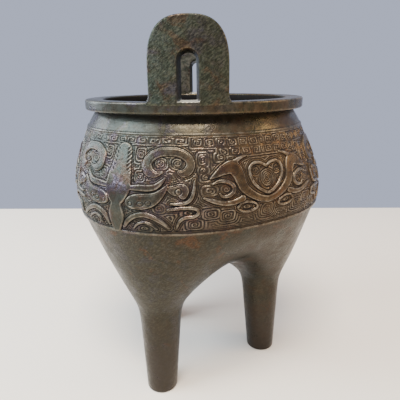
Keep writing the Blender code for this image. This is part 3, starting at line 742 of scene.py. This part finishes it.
def ear_outline(inset):
    """The ear seen from the front, widening a little where it grows out of the rim."""
    half = EAR_WIDTH / 2 - inset
    foot = NECK_TOP + EAR_FOOT_RISE
    shoulder = EAR_TOP - EAR_SHOULDER_HEIGHT
    sweep = EAR_SHOULDER_HEIGHT - inset
    turns = math.pi * np.arange(EAR_ARCH_STEPS + 1) / EAR_ARCH_STEPS
    across = np.sign(np.cos(turns)) * np.abs(np.cos(turns)) ** (2 / EAR_SQUARENESS)
    arch = np.stack([half * across, shoulder + sweep * np.sin(turns) ** (2 / EAR_SQUARENESS)], -1)
    height = foot + (shoulder - foot) * np.arange(EAR_SIDE_STEPS) / EAR_SIDE_STEPS
    flare = EAR_FLARE * np.clip(1 - (height - RIM_TOP) / EAR_FLARE_HEIGHT, 0, 1) ** 2
    flank = np.stack([half + flare, height], -1)
    return closed_outline(flank, arch, half + flare[0], foot, EAR_FOOT_POINTS)


def slot_outline(draft):
    """The slot seen from the front, drawn in by its draft."""
    half = SLOT_WIDTH / 2 - draft
    top = RIM_TOP + SLOT_HEIGHT - draft
    sill = max(RIM_TOP - SILL_DROP + draft, RIM_TOP + SILL_CLEARANCE)
    turns = math.pi * np.arange(SLOT_ARCH_STEPS + 1) / SLOT_ARCH_STEPS
    arch = np.stack([half * np.cos(turns), top - half + half * np.sin(turns)], -1)
    height = np.linspace(sill, top - half, SLOT_SIDE_STEPS + 1)[:-1]
    jamb = np.stack([np.full_like(height, half), height], -1)
    return closed_outline(jamb, arch, half, sill, SLOT_SILL_POINTS)


def bent(outline, radius, side):
    """The outline bent round the rim, sinking into the rim's edge below the rim's top."""
    across, height = outline[:, 0], outline[:, 1]
    reach = radius - EAR_SINK * ease(RIM_TOP - SINK_START, RIM_TOP - SINK_END, height)
    return np.stack([across, side * np.sqrt(reach ** 2 - across ** 2), height], -1)


def inside_outline(places, outline):
    """Which places lie inside a closed outline."""
    x, y = places[:, 0], places[:, 1]
    inside = np.zeros(len(places), dtype=bool)
    for start, end in zip(outline, np.roll(outline, -1, axis=0)):
        crosses = (start[1] > y) != (end[1] > y)
        with np.errstate(divide="ignore", invalid="ignore"):
            at = start[0] + (y - start[1]) * (end[0] - start[0]) / (end[1] - start[1])
        inside ^= crosses & (x < at)
    return inside


def add_ear_edge(shell, side):
    """The ear's narrow side, from its outer face to its inner one, with rounded corners."""
    turns = np.linspace(0, math.pi / 2, 6)
    layers = [(EAR_SOFTNESS * (1 - math.sin(turn)), EAR_OUTER - EAR_SOFTNESS * (1 - math.cos(turn)))
              for turn in turns]
    layers += [(0.0, EAR_INNER + (EAR_OUTER - EAR_INNER) * share) for share in (0.75, 0.5, 0.25)]
    layers += [(EAR_SOFTNESS * (1 - math.cos(turn)), EAR_INNER + EAR_SOFTNESS * (1 - math.sin(turn)))
               for turn in turns]
    # Rubbing with painted highlights on the ear's rounded corners
    lifts = np.array([0, 0.1, 0.3, 0.3, 0.2, 0.1, 0, 0, 0, 0.1, 0.2, 0.3, 0.3, 0.1, 0])[:, None]
    rows = [bent(ear_outline(inset), radius, side) for inset, radius in layers]
    shell.grid(rows, lifts, closed=True, flip=side > 0)


def add_slot_wall(shell, side):
    """The slot's wall, narrower towards the back. Gives the drafts at its outer and inner edge."""
    start, end = (0.0, SLOT_DRAFT) if side < 0 else (SLOT_DRAFT, 0.0)
    soft = SLOT_SOFTNESS
    walls = [(start - soft, EAR_OUTER), (start - 0.3 * soft, EAR_OUTER - 0.3 * soft),
             (start, EAR_OUTER - soft)]
    for share in (0.25, 0.5, 0.75):
        walls.append((start + (end - start) * share, EAR_OUTER - (EAR_OUTER - EAR_INNER) * share))
    walls += [(end, EAR_INNER + soft), (end - 0.3 * soft, EAR_INNER + 0.3 * soft),
              (end - soft, EAR_INNER)]
    # Rubbing with painted highlights on the slot's rounded edges
    lifts = np.array([0.2, 0.4, 0.1, 0, 0, 0, 0.1, 0.4, 0.2])[:, None]
    slot = slot_outline(0.0)
    lifts = np.where(slot[:, 0] < -0.4 * SLOT_WIDTH, SLOT_SHADE, lifts)
    # The slot's sill gets a painted reflection of the light from above
    lifts = np.where(slot[:, 1] < RIM_TOP + SILL_REFLECTION_HEIGHT, SILL_REFLECTION, lifts)
    rows = [bent(slot_outline(draft), radius, side) for draft, radius in walls]
    shell.grid(rows, lifts, closed=True, flip=side < 0)
    return start - soft, end - soft


def add_ear_face(shell, side, radius, draft, lift):
    """The flat of the ear's outer or inner side, in small triangles that bend with the rim."""
    outline, hole = ear_outline(EAR_SOFTNESS), slot_outline(draft)
    lines = [(i, (i + 1) % len(outline)) for i in range(len(outline))]
    lines += [(len(outline) + i, len(outline) + (i + 1) % len(hole)) for i in range(len(hole))]
    across = FACE_STEP * np.arange(-FACE_COLUMNS, FACE_COLUMNS + 1)
    up = np.arange(NECK_TOP, EAR_TOP, FACE_STEP)
    grid = np.stack(np.meshgrid(across, up), -1).reshape(-1, 2)
    keep = inside_outline(grid, ear_outline(EAR_SOFTNESS + FACE_MARGIN))
    keep &= ~inside_outline(grid, slot_outline(draft - FACE_MARGIN))
    every = np.concatenate([outline, hole, grid[keep]])
    result = delaunay_2d_cdt([Vector(place) for place in every], lines, [], 0, 1e-6)
    places = np.array([tuple(place) for place in result[0]])
    triangles = np.array(result[2])
    middles = places[triangles].mean(axis=1)
    good = inside_outline(middles, outline) & ~inside_outline(middles, hole)
    shell.add(bent(places, radius, side), triangles[good], lift)


def ear(side, material):
    """One ear, upright on the rim and bent with it: the front one for side -1, the back one for 1."""
    shell = Shell()
    add_ear_edge(shell, side)
    outer_draft, inner_draft = add_slot_wall(shell, side)
    add_ear_face(shell, side, EAR_OUTER, outer_draft, 0.0)
    # The inner face is painted lighter, as painted light
    add_ear_face(shell, side, EAR_INNER, inner_draft, EAR_INNER_LIGHT)
    return shell.piece("front_ear" if side < 0 else "back_ear", material, WELD_DISTANCE)


# Patina


class Nodes:
    """Short calls for wiring a material. A value is a number, a colour or another node's output."""

    def __init__(self, name):
        self.material = bpy.data.materials.new(name)
        self.material.use_nodes = True
        self.tree = self.material.node_tree
        self.shader = self.tree.nodes["Principled BSDF"]
        self.place = self.tree.nodes.new("ShaderNodeTexCoord").outputs["Object"]
        attribute = self.tree.nodes.new("ShaderNodeAttribute")
        attribute.attribute_name = "lift"
        self.lift = attribute.outputs["Fac"]

    def put(self, socket, value):
        if hasattr(value, "is_output"):
            self.tree.links.new(value, socket)
        else:
            socket.default_value = value

    def noise(self, scale, detail, roughness, distortion=0.0, place=None):
        node = self.tree.nodes.new("ShaderNodeTexNoise")
        self.put(node.inputs["Vector"], place or self.place)
        self.put(node.inputs["Scale"], scale)
        self.put(node.inputs["Detail"], detail)
        self.put(node.inputs["Roughness"], roughness)
        self.put(node.inputs["Distortion"], distortion)
        return node.outputs["Fac"]

    def math(self, kind, first, second, clamp=False):
        node = self.tree.nodes.new("ShaderNodeMath")
        node.operation = kind
        node.use_clamp = clamp
        self.put(node.inputs[0], first)
        self.put(node.inputs[1], second)
        return node.outputs[0]

    def plus(self, first, second, clamp=False):
        return self.math("ADD", first, second, clamp)

    def times(self, first, second):
        return self.math("MULTIPLY", first, second)

    def sway(self, noise, size):
        """A noise as a swing to both sides of 0."""
        return self.times(self.math("SUBTRACT", noise, 0.5), size)

    def span(self, value, low, high, start=0.0, end=1.0):
        """The value's way from low to high, eased, as a number from start to end."""
        node = self.tree.nodes.new("ShaderNodeMapRange")
        node.interpolation_type = "SMOOTHSTEP"
        self.put(node.inputs["Value"], value)
        for name, number in (("From Min", low), ("From Max", high), ("To Min", start), ("To Max", end)):
            self.put(node.inputs[name], number)
        return node.outputs["Result"]

    def mix(self, share, first, second):
        """The first colour with a share of the second."""
        node = self.tree.nodes.new("ShaderNodeMix")
        node.data_type = "RGBA"
        self.put(node.inputs["Factor"], share)
        for socket, value in ((node.inputs[6], first), (node.inputs[7], second)):
            self.put(socket, value if hasattr(value, "is_output") else (*value, 1.0))
        return node.outputs[2]

    def stretched(self, size, turn):
        """The place in a frame turned by these angles, its sizes along the axes scaled."""
        node = self.tree.nodes.new("ShaderNodeMapping")
        node.vector_type = "TEXTURE"
        self.put(node.inputs["Vector"], self.place)
        node.inputs["Scale"].default_value = size
        node.inputs["Rotation"].default_value = turn
        return node.outputs["Vector"]

    def axis(self, index):
        """The place's way along X, Y or Z, by its number."""
        node = self.tree.nodes.new("ShaderNodeSeparateXYZ")
        self.put(node.inputs[0], self.place)
        return node.outputs[index]

    def bump(self, height, distance, strength, after=None):
        node = self.tree.nodes.new("ShaderNodeBump")
        self.put(node.inputs["Height"], height)
        self.put(node.inputs["Distance"], distance)
        self.put(node.inputs["Strength"], strength)
        if after:
            self.put(node.inputs["Normal"], after)
        return node.outputs["Normal"]


# Colours of the metal and of what lies on it, and of the painted light and shade
OLIVE = (0.050, 0.046, 0.026)
UMBER = (0.056, 0.036, 0.021)
SLATE = (0.043, 0.047, 0.044)
# The teal and plum below lie on the left as patina tones with a painted sheen of the cool light in them,
# and the ochre on the right as the metal's tone with painted warm light in it
TEAL_PATINA_AND_SHEEN = (0.044, 0.066, 0.060)
OCHRE = (0.150, 0.086, 0.028)
RUST = (0.110, 0.042, 0.016)
PLUM = (0.084, 0.072, 0.104)
# Rubbed metal and painted highlights on edges
BRIGHT = (0.330, 0.285, 0.215)
# A pale painted reflection
PAINTED_REFLECTION = (0.780, 0.720, 0.560)
# Painted shade, near black, for crevices and the inside of the bowl
CREVICE_SHADE = (0.007, 0.007, 0.0075)
LOW_DARKENING = (0.024, 0.020, 0.015)
# A darker tone from just above the band's foot downwards
MOSS = (0.026, 0.031, 0.022)
LICHEN = (0.050, 0.054, 0.030)
DUSK = (0.038, 0.031, 0.027)
DARK_STREAK = (0.012, 0.013, 0.008)
PALE_STREAK = (0.130, 0.125, 0.080)
SOOT = (0.020, 0.019, 0.015)
DUST = (0.17, 0.16, 0.125)

# The streaks lie in a frame turned about Y, and are narrow along its Z
STREAK_TURN = (0.0, math.radians(-38), 0.0)
STREAK_SIZE = (1.0, 1.0, 0.34)

# Where the height or the way to the right changes a colour
SIDE_REACH = 0.055
SIDE_SWAY = 0.10
STAIN_BOTTOM = 0.100
LOW_DARKENING_HEIGHT = 0.022
DUSK_TOP = 0.085
DUSK_BOTTOM = 0.020


def bronze(name, ground, second, cool, warm, rust, gloss, sheen, scratch, coarse=1.0):
    """Patinated bronze, mottled from the ground colour to the second.

    Cool is the share of teal and plum on the left, part patina and part a painted sheen of the cool
    window light, warm that of ochre on the right, part the metal's tone and part painted warm lamp
    light, and rust that of the stains. Gloss is about the lowest roughness and sheen the specular
    level. Scratch is the strength of the streaks, and coarse that of the fine bumps.
    """
    n = Nodes(name)
    # Noises, as (scale, detail, roughness, distortion)
    broad = n.noise(24.0, 3.0, 0.5)
    swell = n.noise(130.0, 3.0, 0.5)
    patch = n.noise(85.0, 5.0, 0.6, 0.4)
    stain = n.noise(70.0, 5.0, 0.65, 0.8)
    blotch = n.noise(260.0, 5.0, 0.62, 0.6)
    grain = n.noise(900.0, 4.0, 0.6)
    speck = n.noise(2600.0, 2.0, 0.5)
    streaks = n.noise(420.0, 4.0, 0.68, 0.5, n.stretched(STREAK_SIZE, STREAK_TURN))
    height = n.axis(2)
    # Painted light by side: a cool sheen towards the left and warm light towards the right, mixed with
    # the patina's own tones there
    side = n.span(n.plus(n.axis(0), n.sway(broad, SIDE_SWAY)), -SIDE_REACH, SIDE_REACH)
    left = n.times(n.math("SUBTRACT", 1.0, side), cool)
    right = n.times(side, warm)
    stain = n.plus(stain, n.span(height, STAIN_BOTTOM, BAND_BOTTOM, end=0.05))
    # Rubbed edges are painted bright: rubbing with a painted highlight
    wear_and_highlight = n.times(n.span(n.lift, 0.25, 0.95), n.span(blotch, 0.38, 0.62, 0.20, 1.0))
    # Where the lift paints shade into crevices and hollows
    hollow = n.span(n.lift, -0.05, -0.90)
    # What lies over the ground colour, painted light and shade among it, from the lowest layer up, as
    # (how much of it shows, colour)
    layers = [
        (n.span(patch, 0.38, 0.62), second),
        (n.span(blotch, 0.48, 0.66, end=0.55), SLATE),
        # Teal and plum on the left: patina with a painted cool sheen
        (n.times(left, n.span(patch, 0.40, 0.58)), TEAL_PATINA_AND_SHEEN),
        (n.times(left, n.span(patch, 0.50, 0.36)), PLUM),
        # Ochre on the right: the metal's tone with painted warm light
        (n.times(right, n.span(blotch, 0.30, 0.72)), OCHRE),
        (n.span(stain, 0.58, 0.70, end=rust), RUST),
        (n.span(streaks, 0.46, 0.58, end=scratch), DARK_STREAK),
        (n.span(streaks, 0.48, 0.36, end=0.6 * scratch), PALE_STREAK),
        (n.span(grain, 0.40, 0.70, end=0.40), SOOT),
        (n.span(speck, 0.58, 0.74, end=0.35), DUST),
        (n.times(wear_and_highlight, 0.46), BRIGHT),
        # A painted reflection where the lift passes 1
        (n.span(n.lift, 1.1, 1.8), PAINTED_REFLECTION),
        # Darker from just above the band's foot downwards
        (n.span(height, BAND_BOTTOM + LOW_DARKENING_HEIGHT, BAND_BOTTOM, end=0.45), LOW_DARKENING),
        (n.span(height, DUSK_TOP, DUSK_BOTTOM, end=0.65), DUSK),
        # Painted shade in crevices and inside the bowl
        (n.times(hollow, 0.92), CREVICE_SHADE),
    ]
    colour = ground
    for share, tint in layers:
        colour = n.mix(share, colour, tint)
    # Bumps, as (height, depth in metres, strength)
    bumps = [
        (swell, 0.0008, 0.30),
        (blotch, 0.00035, 0.5 * coarse),
        (streaks, 0.00030, scratch * coarse),
        (grain, 0.00016, 0.7 * coarse),
    ]
    normal = None
    for relief, distance, strength in bumps:
        normal = n.bump(relief, distance, strength, normal)
    open_air = n.span(hollow, 0.0, 1.0, 1.0, 0.14)
    rough = n.span(patch, 0.30, 0.70, gloss - 0.06, gloss + 0.12)
    rough = n.plus(n.plus(rough, n.sway(grain, 0.25)), n.times(hollow, 0.45), clamp=True)
    n.put(n.shader.inputs["Base Color"], colour)
    n.put(n.shader.inputs["Metallic"], n.times(n.span(blotch, 0.30, 0.70, 0.85, 0.55), open_air))
    n.put(n.shader.inputs["Specular IOR Level"], sheen)
    n.put(n.shader.inputs["Roughness"], rough)
    n.put(n.shader.inputs["Normal"], normal)
    return n.material


RIM_BRONZE = bronze("bronze_rim", OLIVE, UMBER, cool=0.55, warm=0.35, rust=0.15,
                    gloss=0.27, sheen=0.12, scratch=0.10, coarse=0.5)
BAND_BRONZE = bronze("bronze_band", UMBER, UMBER, cool=0.60, warm=0.60, rust=0.35,
                     gloss=0.28, sheen=0.12, scratch=0.05)
FLANK_BRONZE = bronze("bronze_flank", MOSS, UMBER, cool=0.35, warm=0.05, rust=0.75,
                      gloss=0.33, sheen=0.10, scratch=0.55, coarse=0.8)
EAR_BRONZE = bronze("bronze_ear", OLIVE, LICHEN, cool=0.65, warm=0.10, rust=0.40,
                    gloss=0.35, sheen=0.20, scratch=0.65)

neck_and_rim(RIM_BRONZE)
flanks_and_legs(FLANK_BRONZE)
for band in range(LOBE_COUNT):
    mask_band(band, BAND_BRONZE)
ear(-1, EAR_BRONZE)
ear(1, EAR_BRONZE)


# The camera where the photograph was taken from

CAMERA_AZIMUTH = math.radians(2.4)
CAMERA_DISTANCE = 0.3123
CAMERA_HEIGHT = 0.2314
CAMERA_YAW = math.radians(0.64)
CAMERA_PITCH = math.radians(16.80)
CAMERA_ROLL = math.radians(-0.713)
FOCAL_SHARE = 399 / 400
SENSOR_WIDTH = 36.0

# The floor, the sky, and the lights as (name, place, size, power, colour)

FLOOR_SIDES = (-1.6, 1.6)
FLOOR_ENDS = (-1.2, 0.40)
FLOOR_COLOUR = (0.97, 0.87, 0.73, 1.0)
SKY_COLOUR = (0.53, 0.58, 0.76, 1.0)
SKY_STRENGTH = 0.92
LIT_POINT = Vector((0.0, 0.0, 0.13))
LIGHTS = [
    ("window", (-0.80, -0.25, 0.75), (0.6, 0.6), 15.0, (0.76, 0.88, 1.0)),
    ("far window", (-0.95, 0.36, 0.42), (0.4, 0.5), 5.5, (0.80, 0.90, 1.0)),
    ("lamp", (0.95, -0.10, 0.60), (0.4, 0.4), 4.6, (1.0, 0.73, 0.44)),
    ("ceiling", (-0.05, -0.50, 1.20), (0.5, 0.35), 25.5, (1.0, 0.93, 0.83)),
]


def add_camera():
    ahead = Vector((math.sin(CAMERA_YAW), math.cos(CAMERA_YAW), 0.0))
    right = Vector((math.cos(CAMERA_YAW), -math.sin(CAMERA_YAW), 0.0))
    forward = ahead * math.cos(CAMERA_PITCH) - Vector((0, 0, math.sin(CAMERA_PITCH)))
    down = -(ahead * math.sin(CAMERA_PITCH) + Vector((0, 0, math.cos(CAMERA_PITCH))))
    across = right * math.cos(CAMERA_ROLL) - down * math.sin(CAMERA_ROLL)
    drop = right * math.sin(CAMERA_ROLL) + down * math.cos(CAMERA_ROLL)
    turn = Matrix((across, -drop, -forward)).transposed().to_4x4()
    place = Matrix.Translation((0.0, -CAMERA_DISTANCE, CAMERA_HEIGHT))
    swing = Matrix.Translation((*CENTRE, 0.0)) @ Matrix.Rotation(CAMERA_AZIMUTH, 4, "Z")
    data = bpy.data.cameras.new("camera")
    data.sensor_fit = "HORIZONTAL"
    data.sensor_width = SENSOR_WIDTH
    data.lens = SENSOR_WIDTH * FOCAL_SHARE
    data.clip_start = 0.01
    camera = bpy.data.objects.new("camera", data)
    camera.matrix_world = swing @ place @ turn
    bpy.context.collection.objects.link(camera)
    bpy.context.scene.camera = camera


def add_light(name, place, size, power, colour):
    data = bpy.data.lights.new(name, "AREA")
    data.shape = "RECTANGLE"
    data.size, data.size_y = size
    data.energy = power
    data.color = colour
    light = bpy.data.objects.new(name, data)
    light.location = place
    light.rotation_euler = (LIT_POINT - Vector(place)).to_track_quat("-Z", "Y").to_euler()
    bpy.context.collection.objects.link(light)


def add_floor():
    data = bpy.data.meshes.new("floor")
    (left, right), (near, far) = FLOOR_SIDES, FLOOR_ENDS
    corners = [(left, near, 0), (right, near, 0), (right, far, 0), (left, far, 0)]
    data.from_pydata(corners, [], [(0, 1, 2, 3)])
    finish = bpy.data.materials.new("pale_floor")
    finish.use_nodes = True
    shader = finish.node_tree.nodes["Principled BSDF"]
    shader.inputs["Base Color"].default_value = FLOOR_COLOUR
    shader.inputs["Roughness"].default_value = 0.85
    data.materials.append(finish)
    floor = bpy.data.objects.new("floor", data)
    bpy.context.collection.objects.link(floor)


def add_world():
    world = bpy.data.worlds.new("studio")
    world.use_nodes = True
    background = world.node_tree.nodes["Background"]
    background.inputs["Color"].default_value = SKY_COLOUR
    background.inputs["Strength"].default_value = SKY_STRENGTH
    bpy.context.scene.world = world


add_camera()
add_floor()
add_world()
for light in LIGHTS:
    add_light(*light)
